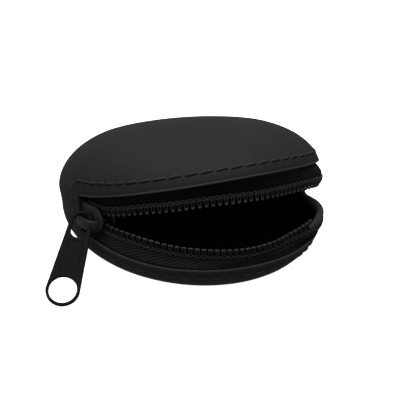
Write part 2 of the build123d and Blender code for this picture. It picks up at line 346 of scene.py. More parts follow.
def grained(name, dark, light, rough, spec, grain_mm, bump, patch_mm=14.0, rough_var=0.08, sheen=0.0, fine=0.35):
    """Matte surface with cell grain, soft tone patches and a little roughness variation."""
    m, nt, b = new_mat(name, dark, rough, spec, sheen=sheen)
    co = node(nt, "ShaderNodeTexCoord")
    big = node(nt, "ShaderNodeTexNoise", Scale=1000.0 / patch_mm, Detail=3.0, Roughness=0.55)
    nt.links.new(co.outputs["Object"], big.inputs["Vector"])
    ramp = color_ramp(nt, big.outputs["Fac"], [(0.3, dark), (0.72, light)])
    nt.links.new(ramp.outputs["Color"], b.inputs["Base Color"])
    cells = node(nt, "ShaderNodeTexVoronoi", Scale=1000.0 / grain_mm)
    cells.feature = "SMOOTH_F1"
    nt.links.new(co.outputs["Object"], cells.inputs["Vector"])
    small = node(nt, "ShaderNodeTexNoise", Scale=1000.0 / (grain_mm * fine), Detail=4.0)
    nt.links.new(co.outputs["Object"], small.inputs["Vector"])
    mixv = node(nt, "ShaderNodeMath", operation="MULTIPLY_ADD")
    nt.links.new(small.outputs["Fac"], mixv.inputs[0])
    mixv.inputs[1].default_value = 0.3
    nt.links.new(cells.outputs["Distance"], mixv.inputs[2])
    bp = node(nt, "ShaderNodeBump", Strength=bump, Distance=0.00012)
    nt.links.new(mixv.outputs["Value"], bp.inputs["Height"])
    nt.links.new(bp.outputs["Normal"], b.inputs["Normal"])
    rr = node(nt, "ShaderNodeMapRange")
    rr.inputs["To Min"].default_value = rough - rough_var
    rr.inputs["To Max"].default_value = rough + rough_var
    nt.links.new(big.outputs["Fac"], rr.inputs["Value"])
    nt.links.new(rr.outputs["Result"], b.inputs["Roughness"])
    return m


def woven(name, dark, light, rough, pitch_mm, bump, sheen=0.0):
    """Fine weave for thread and lining."""
    m, nt, b = new_mat(name, dark, rough, 0.15, sheen=sheen)
    co = node(nt, "ShaderNodeTexCoord")
    waves = []
    for direction in ("X", "Y"):
        w = node(nt, "ShaderNodeTexWave", Scale=1000.0 / pitch_mm / 6.283, Distortion=0.4)
        w.bands_direction = direction
        nt.links.new(co.outputs["Object"], w.inputs["Vector"])
        waves.append(w)
    mul = node(nt, "ShaderNodeMath", operation="MULTIPLY")
    nt.links.new(waves[0].outputs["Fac"], mul.inputs[0])
    nt.links.new(waves[1].outputs["Fac"], mul.inputs[1])
    ramp = color_ramp(nt, mul.outputs["Value"], [(0.1, dark), (0.8, light)])
    nt.links.new(ramp.outputs["Color"], b.inputs["Base Color"])
    bp = node(nt, "ShaderNodeBump", Strength=bump, Distance=0.0001)
    nt.links.new(mul.outputs["Value"], bp.inputs["Height"])
    nt.links.new(bp.outputs["Normal"], b.inputs["Normal"])
    return m


leather = grained("leather", (0.0125, 0.0125, 0.0127), (0.0155, 0.0155, 0.0158), 0.68, 0.1, 0.55, 0.2)

# painted shade: the leather is coloured a little darker between the topstitch and the lip, where the panel turns down
lnt = leather.node_tree
lbs = [q for q in lnt.nodes if q.type == "BSDF_PRINCIPLED"][0]
tone = lbs.inputs["Base Color"].links[0].from_socket
lip_shade_attr = node(lnt, "ShaderNodeAttribute")
lip_shade_attr.attribute_name = "lip_shade"
keep = node(lnt, "ShaderNodeMath", operation="SUBTRACT")
keep.inputs[0].default_value = 1.0
lnt.links.new(lip_shade_attr.outputs["Fac"], keep.inputs[1])
scaled = node(lnt, "ShaderNodeVectorMath", operation="SCALE")
lnt.links.new(tone, scaled.inputs[0])
lnt.links.new(keep.outputs["Value"], scaled.inputs["Scale"])
lnt.links.new(scaled.outputs["Vector"], lbs.inputs["Base Color"])
# painted shadow: near-black leather for thin lines laid under the stitches
stitch_shadow_mat = grained("leather_stitch_shadow", (0.003, 0.003, 0.0031), (0.0045, 0.0045, 0.0046), 0.8, 0.05, 0.3, 0.1, patch_mm=6.0)
# painted highlight: the lip beads are coloured lighter than the leather
edge_highlight_mat = grained("leather_edge_highlight", (0.02, 0.02, 0.0203), (0.026, 0.026, 0.0264), 0.6, 0.15, 0.3, 0.1, patch_mm=6.0)
lining_mat = woven("lining", (0.0007, 0.0007, 0.0008), (0.0014, 0.0014, 0.0015), 0.9, 0.35, 0.3)


def twill(name, dark, light, rough, low):
    """Tape: light ribs over dark grooves, each rib with a fine yarn texture; the rib attribute also carries painted
    shade.
    """
    m, nt, b = new_mat(name, dark, rough, 0.12)
    rib = node(nt, "ShaderNodeAttribute")
    rib.attribute_name = "rib"
    co = node(nt, "ShaderNodeTexCoord")
    yarn = node(nt, "ShaderNodeTexNoise", Scale=1000.0 / 0.35, Detail=3.0)
    nt.links.new(co.outputs["Object"], yarn.inputs["Vector"])
    mix = node(nt, "ShaderNodeMath", operation="MULTIPLY")
    nt.links.new(rib.outputs["Fac"], mix.inputs[0])
    nt.links.new(yarn.outputs["Fac"], mix.inputs[1])
    ramp = color_ramp(nt, mix.outputs["Value"], [(low, dark), (0.6, light)])
    nt.links.new(ramp.outputs["Color"], b.inputs["Base Color"])
    bp = node(nt, "ShaderNodeBump", Strength=0.4, Distance=0.0001)
    nt.links.new(mix.outputs["Value"], bp.inputs["Height"])
    nt.links.new(bp.outputs["Normal"], b.inputs["Normal"])
    return m


# the upper tape's ramp goes dark further up than the lower's: painted shade on the upper tape under the lid
tape_mats = {-1: twill("tape_lower", (0.0005, 0.0005, 0.0005), (0.014, 0.014, 0.0143), 0.8, 0.15),
             1: twill("tape_upper", (0.0004, 0.0004, 0.0004), (0.015, 0.015, 0.0153), 0.8, 0.36)}
# thread coloured lighter than the leather it matches: painted highlight on the tops of the stitches
thread_highlight_mat = woven("thread", (0.017, 0.017, 0.0173), (0.025, 0.025, 0.0254), 0.6, 0.2, 0.4)
# one coil in two colours: the heads lighter as a painted highlight at the tips, the legs darker as painted shade
coil_leg_shade_mat = grained("coil", (0.0055, 0.0055, 0.0058), (0.009, 0.009, 0.0094), 0.4, 0.3, 0.3, 0.08, patch_mm=4.0)
head_highlight_mat = grained("coil_heads_highlight", (0.013, 0.013, 0.0134), (0.02, 0.02, 0.0205), 0.35, 0.4, 0.3, 0.08, patch_mm=4.0)
chain_mat = woven("coil_thread", (0.02, 0.02, 0.0206), (0.034, 0.034, 0.035), 0.55, 0.2, 0.4)
# the hem is coloured lighter than the tape it is made of: painted light on a band that lies in shade
hem_painted_light_mat = woven("tape_hem", (0.026, 0.026, 0.0264), (0.036, 0.036, 0.0365), 0.75, 0.3, 0.3)
metal_mat = grained("hardware", (0.0125, 0.0125, 0.0128), (0.017, 0.017, 0.0174), 0.46, 0.2, 0.35, 0.1, patch_mm=5.0)
pull_mat = grained("pull_paint", (0.0018, 0.0018, 0.0019), (0.0028, 0.0028, 0.0029), 0.55, 0.06, 0.35, 0.1, patch_mm=5.0)


def paint(ob, mat):
    ob.data.materials.clear()
    ob.data.materials.append(mat)


# ------------------------------------------------------------------ leather
front_cols = [-PSI0 + 2 * PSI0 * i / 72 for i in range(73)]
rear_cols = [PSI0 + (2 * math.pi - 2 * PSI0) * i / 84 for i in range(85)]


def wrap(psi):
    return psi - 2 * math.pi if psi > math.pi else psi


def top_rows(cols):
    rows = [[top_point(wrap(p), rho) for p in cols] for rho in (1.0, 5, 9, 13, 17, 21)]
    for i in range(17):
        rows.append([top_point(wrap(p), None, lip_a(wrap(p)) * i / 16) for p in cols])
    return rows


def make_top(name):
    b = Build()
    all_cols = front_cols + rear_cols[1:-1]
    nf = len(front_cols)
    rows = top_rows(all_cols)
    b.grid(rows, wrap=True)
    b.f.append(tuple(range(len(all_cols))))
    n = len(all_cols)
    lip_row = (len(rows) - 1) * n
    # side and rear wall hang on from the lip row
    wall_cols = list(range(nf - 1, n)) + [0]
    prev = [lip_row + j for j in wall_cols]
    paths = [resample(wall_path(wrap(all_cols[j])), 10) for j in wall_cols]
    for i in range(1, 10):
        cur = []
        for k in range(len(wall_cols)):
            cur.append(len(b.v))
            b.v.append(paths[k][i])
        for k in range(len(wall_cols) - 1):
            b.f.append((prev[k], cur[k], cur[k + 1], prev[k + 1]))
        prev = cur
    ob = b.make(name)
    # painted shade between the topstitch and the lip, read by the leather material through lip_shade
    shade = [0.0] * len(b.v)
    for i in range(17):
        for j, p in enumerate(all_cols):
            near = smooth((lip_a(wrap(p)) * i / 16 - 1.02) / 0.16) * (1 - smooth((abs(math.degrees(wrap(p))) - 78) / 12))
            shade[(6 + i) * n + j] = 0.26 * near
    ob.data.attributes.new("lip_shade", "FLOAT", "POINT").data.foreach_set("value", shade)
    return ob


def make_bottom(name):
    b = Build()
    cols = front_cols + rear_cols[1:-1]
    rows = [[(rho * math.sin(p), -rho * math.cos(p), 0.0) for p in cols] for rho in (1.0, 6, 12, 18, 22, 24)]
    paths = [resample([(q[0], q[1], 0) for q in low_path(wrap(p), seam_z(wrap(p)))], 15) for p in cols]
    for i in range(15):
        rows.append([(paths[j][i][0] * math.sin(cols[j]), -paths[j][i][0] * math.cos(cols[j]), paths[j][i][1]) for j in range(len(cols))])
    b.grid(rows, wrap=True, flip=True)
    b.f.append(tuple(reversed(range(len(cols)))))
    return b.make(name)


def shell(ob, thick, bevel=0.3):
    return apply_mods(ob, ("SOLIDIFY", dict(thickness=thick * MM, offset=-1.0, use_even_offset=False)),
                      ("BEVEL", dict(width=bevel * MM, segments=3, limit_method="ANGLE", angle_limit=rad(50))))


def inset_copy(ob, name, depth):
    me = ob.data.copy()
    me.name = name
    new = bpy.data.objects.new(name, me)
    bpy.context.scene.collection.objects.link(new)
    normals = [v.normal.copy() for v in me.vertices]
    for v, nrm in zip(me.vertices, normals):
        v.co -= nrm * depth * MM
    return new


top = make_top("leather_top")
bottom = make_bottom("leather_bottom")
lining_top = inset_copy(top, "lining_top", 1.35)
lining_bottom = inset_copy(bottom, "lining_bottom", 1.35)
shell(top, 1.15)
shell(bottom, 1.15)
shell(lining_top, 0.35, 0.1)
shell(lining_bottom, 0.35, 0.1)
for ob in (top, bottom):
    paint(ob, leather)


def edge_bead(name, fn, side):
    """Cut edge: a fine bead along the lip, coloured lighter than the leather as a painted highlight along the edge."""
    b = Build()
    b.tube([fn(lerp(-PSI0, PSI0, i / 180)) for i in range(181)], 0.34, sides=8, taper=0.02)
    ob = b.make(name)
    paint(ob, edge_highlight_mat)
    rides(ob, side, slot="leather")
    return ob


def low_edge(psi):
    z = seam_z(psi)
    r = low_path(psi, z)[-1][0] - 0.42
    return (r * math.sin(psi), -r * math.cos(psi), z + 0.02)


def top_edge(psi):
    a = lip_a(psi)
    p, q = Vector(top_point(psi, None, a)), Vector(top_point(psi, None, a - 0.03))
    t = Vector(top_point(psi + 0.01, None, a)) - Vector(top_point(psi - 0.01, None, a))
    n = (p - q).cross(t).normalized()
    if n.dot(Vector((math.sin(psi), -math.cos(psi), 0.2))) < 0:
        n = -n
    return tuple(p - n * 0.2 + (p - q).normalized() * 0.1)


edge_bead("lip_edge_top", top_edge, "blend")
edge_bead("lip_edge_bottom", low_edge, "base")
for ob in (lining_top, lining_bottom):
    paint(ob, lining_mat)
rides(top, "blend", "lid_shell", "top_fold", slot="leather")
rides(bottom, "base", "body_shell", slot="leather")
rides(lining_top, "blend", "lid_lining", "rear_lining", slot="lining")
rides(lining_bottom, "base", "body_lining", slot="lining")

# ------------------------------------------------------------------ zip strips
MESH_R = 36.0
MESH_Z = ((-84, 16.6), (-71, 16.3), (-60, 16.7), (-50, 16.8), (-38, 16.45), (-24, 16.2), (-13, 15.9), (-2, 15.6), (8, 15.5),
          (20, 15.6), (35, 15.8), (50, 16.0), (62, 16.3), (70, 16.6), (84, 16.7))
COIL_W = 2.9


def polar(p):
    return math.atan2(p[0], -p[1]), math.hypot(p[0], p[1]), p[2]


def lip_rest(psi, inward=0.0, up=0.0):
    """Top lip point moved inwards and up along the leather."""
    a = lip_a(psi) - up / 11.5
    p = Vector(top_point(psi, None, a))
    if inward:
        q = Vector(top_point(psi, None, a - 0.03))
        t = Vector(top_point(psi + 0.01, None, a)) - Vector(top_point(psi - 0.01, None, a))
        n = (p - q).cross(t).normalized()
        if n.dot(Vector((math.sin(psi), -math.cos(psi), 0.2))) < 0:
            n = -n
        p -= n * inward
    return tuple(p)


LIP_TABLE = []
for i in range(-90, 91):
    psi = PSI0 * i / 90
    LIP_TABLE.append([polar(shut(lip_rest(psi, 1.45, u))) for u in (0.0, 4.0)])


def lip_shut(psi, k):
    prev = LIP_TABLE[0][k]
    if psi <= prev[0]:
        return prev[1], prev[2]
    for row in LIP_TABLE[1:]:
        cur = row[k]
        if cur[0] >= psi:
            t = (psi - prev[0]) / max(1e-9, cur[0] - prev[0])
            return lerp(prev[1], cur[1], t), lerp(prev[2], cur[2], t)
        prev = cur
    return prev[1], prev[2]


def bulge(psi):
    """How far the chain stands out beyond its circle on the right, ahead of the slider's closed place."""
    d = math.degrees(psi)
    return 2.6 * smooth((d - 22) / 30) * (1 - smooth((d - 54) / 16))


def bow(psi, side):
    """How far the strips belly out between tips and lip there."""
    d = math.degrees(psi)
    return (2.6 if side < 0 else 1.7) * smooth((d - 20) / 30) * (1 - smooth((d - 54) / 16))


def at(psi, r, z):
    return (r * math.sin(psi), -r * math.cos(psi), z)


SECTIONS = {}


def section(side, psi):
    """Cross-section of a strip as (points, length to the lip): upright from the tips past the slider, out to the lip, then up
    or down behind the leather."""
    key = (side, round(psi, 5))
    if key not in SECTIONS:
        tip = Vector((MESH_R + bulge(psi), curve(MESH_Z, math.degrees(psi)) + side * 0.12))
        if side < 0:
            out = low_flare(psi, seam_z(psi))
            lip, deep = Vector((38.45 + out, seam_z(psi) - 0.4)), Vector((38.3 + out * 0.6, seam_z(psi) - 4.4))
        else:
            lip, deep = Vector(lip_shut(psi, 0)), Vector(lip_shut(psi, 1))
        knee = Vector((tip.x + 0.1, tip.y + 0.66 * (lip.y - tip.y)))
        pts = [tip * (1 - t) ** 2 + knee * (2 * t * (1 - t)) + lip * t ** 2 for t in (i / 16 for i in range(17))]
        length = sum((pts[i + 1] - pts[i]).length for i in range(16))
        d = (deep - lip).normalized()
        pts += [lip + d * k for k in (0.8, 1.6, 3.0, 5.0, 8.0)]
        for _ in range(2):
            pts[15:18] = [(pts[i - 1] + pts[i] * 2 + pts[i + 1]) / 4 for i in (15, 16, 17)]
        run = [0.0]
        for i in range(len(pts) - 1):
            run.append(run[-1] + (pts[i + 1] - pts[i]).length)
        SECTIONS[key] = (pts, run, length)
    return SECTIONS[key]


def strip(side, psi, e, n=0.0):
    """Point of a zip strip. e runs in mm from the tips (0) back over coil and tape, n stands out of it; side is -1 for the
    lower strip and +1 for the upper one."""
    pts, run, length = section(side, psi)
    i = 0
    while i < len(pts) - 2 and run[i + 1] < e:
        i += 1
    d = (pts[i + 1] - pts[i]) / (run[i + 1] - run[i])
    p = pts[i] + d * (e - run[i])
    k = clamp((e - run[i]) / (run[i + 1] - run[i]))
    before = (pts[i] - pts[i - 1]).normalized() if i else d
    after = (pts[i + 2] - pts[i + 1]).normalized() if i < len(pts) - 2 else d
    d = ((before + d.normalized()) * (1 - k) + (after + d.normalized()) * k).normalized()
    nrm = Vector((d.y, -d.x)) if side > 0 else Vector((-d.y, d.x))
    p.x += bow(psi, side) * math.sin(math.pi * clamp(e / (length - 0.4)))
    p += nrm * n
    q = at(psi, p.x, p.y)
    return q if side < 0 else opened(q)


def strip_normal(side, psi, e):
    a = Vector(strip(side, psi, e, 0.5)) - Vector(strip(side, psi, e, -0.5))
    return a.normalized()


PSI_A, PSI_B = rad(-86.0), rad(84.5)
RIB = 0.95


def make_tape(name, side):
    b = Build()
    cols = 760
    es = [0.9 + 8.6 * i / 52 for i in range(53)]
    # the ribs stand wider apart towards the right, where the cloth is stretched round the bend
    run = [0.0]
    for j in range(cols):
        d = math.degrees(lerp(PSI_A, PSI_B, (j + 0.5) / cols))
        run.append(run[-1] + (PSI_B - PSI_A) * 37.0 / cols / (RIB * (1 + 0.55 * smooth((d + 30) / 60))))
    rows, ribs = [], []
    for e in es:
        row = []
        for j in range(cols + 1):
            psi = lerp(PSI_A, PSI_B, j / cols)
            s = psi * 37.0
            x = run[j] + e * 0.9 / RIB if side > 0 else (s * 0.5 + e) / RIB
            wave = abs(math.sin(math.pi * x)) * 2 - 1
            fade = smooth((e - 2.9) / 0.6)
            # upper tape: darker towards the left end, as painted shade under the lip
            if side > 0:
                soft = 0.55 + 0.45 * smooth((math.degrees(psi) + 20) / 50)
            else:
                # lower tape: darker where the cloth turns in behind the lip, as painted shade in the gap between the
                # strip and the leather
                soft = 1 - 0.95 * smooth((math.degrees(psi) + 28) / 24) * smooth((e - section(side, psi)[2] + 2.4) / 1.2)
            # the ribs fade out under the coil: flat there, and darker as painted shade under the coil
            soft *= smooth((e - 2.3) / 0.7)
            ribs.append(clamp(0.5 + 0.5 * wave) * soft)
            row.append(strip(side, psi, e, -0.25 + 0.17 * wave * fade))
        rows.append(row)
    b.grid(rows, flip=(side < 0))
    ob = b.make(name)
    at_rib = ob.data.attributes.new("rib", "FLOAT", "POINT")
    at_rib.data.foreach_set("value", ribs)
    apply_mods(ob, ("SOLIDIFY", dict(thickness=0.35 * MM, offset=-1.0)))
    paint(ob, tape_mats[side])
    return ob


PITCH = rad(3.05)


def make_coil(name, side, first, count):
    """Loops of a zip coil and, as a second piece, their rounded heads at the tips."""
    legs, heads = Build(), Build()
    for i in range(count):
        psi = first + PITCH * (i + (0.5 if side > 0 else 0.0))
        # two wires side by side on the outside, joined over the tip and back along the inside
        for t in (-0.2, 0.2):
            path = [strip(side, psi + PITCH * (t * k), e, n) for e, n, k in
                    ((2.35, -0.3, 1.1), (2.2, 0.3, 1.08), (1.9, 0.58, 1.05), (1.4, 0.66, 1.0), (0.8, 0.66, 1.0), (0.3, 0.5, 0.9))]
            legs.tube(path, 0.2, sides=7)
        # the lower heads are pressed wider and flatter, almost touching
        reach, thick = (0.27, 0.44) if side > 0 else (0.41, 0.34)
        heads.tube([strip(side, psi + PITCH * x * reach, 0.25, 0.42) for x in (-1.0, -0.8, -0.45, 0.0, 0.45, 0.8, 1.0)],
                   thick, sides=8, taper=0.45 if side > 0 else 0.3)
        path = [strip(side, psi + PITCH * t, e, n) for e, n, t in
                ((0.15, 0.1, 0.0), (0.5, -0.28, 0.05), (1.2, -0.45, 0.15), (1.9, -0.4, 0.3), (2.4, -0.2, 0.45))]
        legs.tube(path, 0.3, sides=7)
    made = (legs.make(name), heads.make(name + "_heads"))
    # legs in the darker coil colour, heads in the lighter one: painted shade and painted highlight
    paint(made[0], coil_leg_shade_mat)
    paint(made[1], head_highlight_mat)
    return made


def make_chain(name, side, first, last):
    """Chain of sewing thread that holds the coil on its tape: two threads that cross once a loop."""
    b = Build()
    n = int((last - first) / PITCH * 10)
    for phase in (0, math.pi):
        path, ups = [], []
        for i in range(n + 1):
            psi = lerp(first, last, i / n)
            x = (psi - first) / PITCH * 2 * math.pi / 2 * 1.0
            e = (2.25 if side > 0 else 2.45) + 0.42 * math.sin(x + phase)
            rise = 0.42 - 0.22 * smooth((math.degrees(psi) - 60) / 7)
            path.append(strip(side, psi, e, rise + 0.1 * math.cos(x + phase)))
            ups.append(strip_normal(side, psi, e) if i % 1 == 0 else (0, 0, 1))
        b.tube(path, 0.21, sides=6, up=[tuple(u) for u in ups])
    ob = b.make(name)
    paint(ob, chain_mat)
    return ob


lower_tape = make_tape("lower_tape", -1)
upper_tape = make_tape("upper_tape", 1)
lower_coil, lower_heads = make_coil("lower_coil_loops", -1, rad(-84), 42)
upper_coil, upper_heads = make_coil("upper_coil_loops", 1, rad(-84), 53)
lower_chain = make_chain("lower_coil_sewing", -1, rad(-85), rad(44))
upper_chain = make_chain("upper_coil_sewing", 1, rad(-85), rad(84))
b = Build()
edge, ups, widths = [], [], []
for i in range(41):
    # ahead of the slider's closed place it turns down, clear of the post between the plates
    psi = lerp(rad(37.5), PSI_B, i / 40)
    e = 1.6 + 0.75 * smooth((math.degrees(psi) - 64) / 10)
    edge.append(strip(-1, psi, e, lerp(0.1, -0.3, smooth(i / 12)) - 0.14 * smooth((math.degrees(psi) - 61) / 6)))
    widths.append(1.0 - 0.32 * smooth((math.degrees(psi) - 60) / 7))
    ups.append(strip_normal(-1, psi, e))
b.tube(edge, 1.6, sides=16, flat=0.78, up=[tuple(u) for u in ups], taper=0.24, widths=widths)
tape_hem = b.make("lower_tape_hem")
# lighter hem colour: painted light on a band in shade
paint(tape_hem, hem_painted_light_mat)
rides(tape_hem, "base", slot="tape")
rides(lower_tape, "base", "lower_zip_tape", slot="tape")
rides(upper_tape, "zip", "upper_zip_tape", "upper_tape_end", slot="tape")
rides(lower_coil, "base", "lower_coil", slot="coil")
rides(lower_heads, "base", slot="coil")
rides(upper_heads, "zip", slot="coil")
rides(upper_coil, "zip", "upper_coil", "upper_coil_end", slot="coil")
rides(lower_chain, "base", "lower_coil_thread", slot="thread")
rides(upper_chain, "zip", "upper_coil_thread", slot="thread")


# ------------------------------------------------------------------ topstitching
def stitch(b, pts, normals, r=0.42, sink=0.0):
    path = []
    m = len(pts)
    for i, (p, n) in enumerate(zip(pts, normals)):
        t = i / (m - 1)
        lift = 0.08 - sink - 0.38 * abs(2 * t - 1) ** 5
        path.append(tuple(Vector(p) + Vector(n) * lift))
    b.tube(path, r, sides=8, flat=0.8, up=[tuple(n) for n in normals], taper=0.15)


STITCH_BACK = 4.0


def stitch_angle(psi):
    """Rounding angle 4 mm up the surface from the top lip."""
    a, dist = A_LIP, 0.0
    p = Vector(top_point(psi, None, a))
    while dist < STITCH_BACK and a > 0.01:
        a -= 0.01
        q = Vector(top_point(psi, None, a))
        dist += (q - p).length
        p = q
    return a


def top_normal(psi, a):
    p = Vector(top_point(psi, None, a))
    t = Vector(top_point(psi + 0.01, None, a)) - Vector(top_point(psi - 0.01, None, a))
    s = Vector(top_point(psi, None, a + 0.01)) - Vector(top_point(psi, None, a - 0.01))
    n = s.cross(t).normalized()
    if n.dot(Vector((math.sin(psi) * 0.5, -math.cos(psi) * 0.5, 1))) < 0:
        n = -n
    return n


b, shadow_line = Build(), Build()
spots, at_deg = [], -86.3
while at_deg < 84.0:
    # shorter stitches round the tight bend beside the slider
    step = 5.0 + 1.85 * smooth((at_deg + 76) / 42)
    spots.append((at_deg + step / 2, step))
    at_deg += step
for mid_deg, step in spots:
    c, half = rad(mid_deg), rad(step) * 0.435
    pts, nrm = [], []
    for k in range(7):
        psi = c + half * (k / 3 - 1)
        a = stitch_angle(clamp(psi, -PSI0, PSI0)) - 0.012 * (k / 3 - 1)
        pts.append(top_point(psi, None, a))
        nrm.append(top_normal(psi, a))
    stitch(b, pts, nrm, sink=0.16 * smooth((abs(math.degrees(c)) - 40) / 25))
    # a dark line just under each topstitch: painted shadow below the thread
    under = []
    for k in range(7):
        psi = c + half * 1.04 * (k / 3 - 1)
        a = stitch_angle(clamp(psi, -PSI0, PSI0)) - 0.012 * (k / 3 - 1) + 0.04
        under.append(tuple(Vector(top_point(psi, None, a)) - top_normal(psi, a) * 0.06))
    shadow_line.tube(under, 0.22, sides=8, taper=0.2)
# short legs down beside the mouth's ends
for side in (-1, 1):
    psi = side * rad(88.4)
    path = [Vector(q) for q in resample(wall_path(psi), 40)]
    top_a = stitch_angle(side * PSI0)
    upper_pts = [Vector(top_point(psi, None, lerp(top_a, lip_a(psi), t / 8))) for t in range(9)]
    line = upper_pts + path[1:]
    line = [Vector(q) for q in resample(line, 80)]
    total = sum((line[i + 1] - line[i]).length for i in range(79))
    step = 79 / (total / 4.2)
    s = 1.5
    while s + step * 0.75 < 77:
        ids = [int(s + step * 0.75 * k / 6) for k in range(7)]
        pts = [line[q] for q in ids]
        nrm = [Vector((math.sin(psi), -math.cos(psi), 0.15)).normalized() for _ in ids]
        stitch(b, [tuple(q) for q in pts], nrm)
        s += step
shadow_lines = shadow_line.make("stitch_shadow_lines_top")
paint(shadow_lines, stitch_shadow_mat)
rides(shadow_lines, "blend", slot="leather")
top_stitches = b.make("stitching_top")
paint(top_stitches, thread_highlight_mat)
rides(top_stitches, "blend", "lid_stitching", slot="thread")

b, shadow_line = Build(), Build()


def low_point(psi, back):
    z = seam_z(psi)
    r = R if z >= ZM else R
    p = low_path(psi, z)
    dist, cur = 0.0, Vector((p[-1][0], p[-1][1]))
    fine = []
    for i in range(200):
        a = math.pi / 2 * (1 - i / 260)
        q = Vector((R - RE + RE * math.sin(a), ZM - ZM * math.cos(a)))
        q.x += low_flare(psi, q.y)
        if q.y > z:
            continue
        dist += (q - cur).length
        cur = q
        if dist >= back:
            n = Vector(((q.x - (R - RE)) / RE ** 2, (q.y - ZM) / ZM ** 2)).normalized()
            return at(psi, q.x, q.y), (n.x * math.sin(psi), -n.x * math.cos(psi), n.y)
    return at(psi, cur.x, cur.y), (math.sin(psi), -math.cos(psi), 0)


count = 26
for i in range(count):
    c = rad(-86) + rad(172.0) * (i + 0.5) / count
    half = rad(172.0) / count * 0.4
    pts, nrm = [], []
    for k in range(7):
        p, n = low_point(c + half * (k / 3 - 1), 2.5)
        pts.append(p)
        nrm.append(n)
    stitch(b, pts, nrm, r=0.33, sink=0.06)
    # a dark line under each lower stitch: painted shadow below the thread
    under = []
    for k in range(7):
        p, n = low_point(c + half * 1.04 * (k / 3 - 1), 2.94)
        under.append(tuple(Vector(p) - Vector(n) * 0.06))
    shadow_line.tube(under, 0.14, sides=8, taper=0.2)
shadow_lines = shadow_line.make("stitch_shadow_lines_bottom")
paint(shadow_lines, stitch_shadow_mat)
rides(shadow_lines, "base", slot="leather")
low_stitches = b.make("stitching_bottom")
paint(low_stitches, thread_highlight_mat)
rides(low_stitches, "base", "lower_stitching", slot="thread")

# ------------------------------------------------------------------ slider, bridge and pull
SL_PSI, SL_R, SL_Z = rad(-80.0), 35.8, 16.65
sl_o = Vector(at(SL_PSI, SL_R, SL_Z))
sl_x = Vector((math.cos(SL_PSI), math.sin(SL_PSI), 0))
sl_n = Vector(at(SL_PSI, 1, 0))
sl_y = Vector((0, 0, 1))


def sl(x, y, n):
    return tuple(sl_o + sl_x * x + sl_y * y + sl_n * n)


def plate_outline(grow=0.0):
    pts = []
    for x, y in ((-5.1, 2.8), (-3.0, 3.3), (-1.2, 3.6), (0.6, 3.9)):
        pts.append((x, y))
    for i in range(13):
        a = math.pi / 2 - math.pi * i / 12
        pts.append((1.6 + 4.2 * math.cos(a), 3.95 * math.sin(a)))
    for x, y in ((0.6, -3.9), (-1.2, -3.6), (-3.0, -3.3), (-5.1, -2.8)):
        pts.append((x, y))
    return pts


def slab(b, outline, n0, n1, place, holes=()):
    """Plate between two heights with a soft rim."""
    n = len(outline)
    cx = sum(p[0] for p in outline) / n
    cy = sum(p[1] for p in outline) / n
    rings = [(0.0, n0 + 0.22), (0.0, n1 - 0.25), (0.1, n1 - 0.08), (0.3, n1)]
    rows = []
    for shrink, h in [(0.22, n0)] + rings:
        row = []
        for x, y in outline:
            d = Vector((x - cx, y - cy))
            k = 1 - shrink / max(0.5, d.length)
            row.append(place(cx + d.x * k, cy + d.y * k, h))
        rows.append(row)
    base = len(b.v)
    b.grid(rows, wrap=True, flip=False)
    b.f.append(tuple(base + j for j in range(n)))
    b.f.append(tuple(base + len(rows) * n - 1 - j for j in range(n)))


b = Build()
slab(b, plate_outline(), 1.75, 2.6, sl)
slab(b, plate_outline(), -2.6, -1.75, sl)
for side in (1, -1):
    for sg in (1, -1):
        lo, hi = (1.3, 1.8) if side > 0 else (-1.8, -1.3)
        rail = [(-4.6, sg * 2.9), (-1.2, sg * 3.45), (1.4, sg * 3.6), (1.4, sg * 3.05), (-1.2, sg * 2.95), (-4.6, sg * 2.5)]
        if sg < 0:
            rail.reverse()
        rail.reverse()
        slab(b, rail, lo, hi, sl)
post = [(2.9 + 1.0 * math.cos(2 * math.pi * i / 12), 0.55 * math.sin(2 * math.pi * i / 12)) for i in range(12)][::-1]
slab(b, post, -1.9, 1.9, sl)
slider = b.make("slider_plates")
apply_mods(slider, ("BEVEL", dict(width=0.12 * MM, segments=2, limit_method="ANGLE", angle_limit=rad(40))))
paint(slider, metal_mat)
rides(slider, "slider", "slider_body", slot="hardware")

# bridge: a flat strap that rises from the nose, runs back over the plate and comes down at the tail
b = Build()
prof = [(4.15, 2.2), (4.1, 3.2), (3.7, 4.1), (2.9, 4.75), (1.6, 5.05), (0.0, 5.15), (-1.6, 5.05), (-2.9, 4.7), (-3.7, 4.0), (-4.05, 3.1), (-4.1, 2.2)]
prof = [(p.x, p.y) for p in (Vector(q) for q in resample([(x, y, 0) for x, y in prof], 25))]
rows = []
for i, (x, n) in enumerate(prof):
    j0, j1 = max(0, i - 1), min(len(prof) - 1, i + 1)
    t = Vector((prof[j1][0] - prof[j0][0], prof[j1][1] - prof[j0][1])).normalized()
    o = Vector((t.y, -t.x))
    if o.dot(Vector((x * 0.3, n - 1.5))) < 0:
        o = -o
    w = 1.7
    ring = []
    for q in range(12):
        a = 2 * math.pi * q / 12
        y = w * math.copysign(abs(math.cos(a)) ** 0.6, math.cos(a))
        k = 0.4 * math.copysign(abs(math.sin(a)) ** 0.7, math.sin(a))
        ring.append(sl(x + o.x * k, y - 1.3 + 0.1 * x, n + o.y * k))
    rows.append(ring)
b.grid(rows, wrap=True, flip=True)
b.f.append(tuple(range(12)))
b.f.append(tuple(reversed(range(24 * 12, 25 * 12))))
bridge = b.make("slider_bail")
apply_mods(bridge)
paint(bridge, metal_mat)
rides(bridge, "slider", "slider_bridge", slot="hardware")

# pull: long flat tab with a head eye and a thin round ring at the end
piv = Vector((-40.3, -6.6, 16.9))
head = Vector((-0.63, -0.776, 0)).normalized()
reach = 28.5
slope = math.asin(13.3 / 23.4)
down = head * math.cos(slope) - Vector((0, 0, 1)) * math.sin(slope)
across = Vector((-head.y, head.x, 0))
face = across.cross(-down)


def pl(u, v, w):
    return tuple(piv + across * u + down * v + face * w)


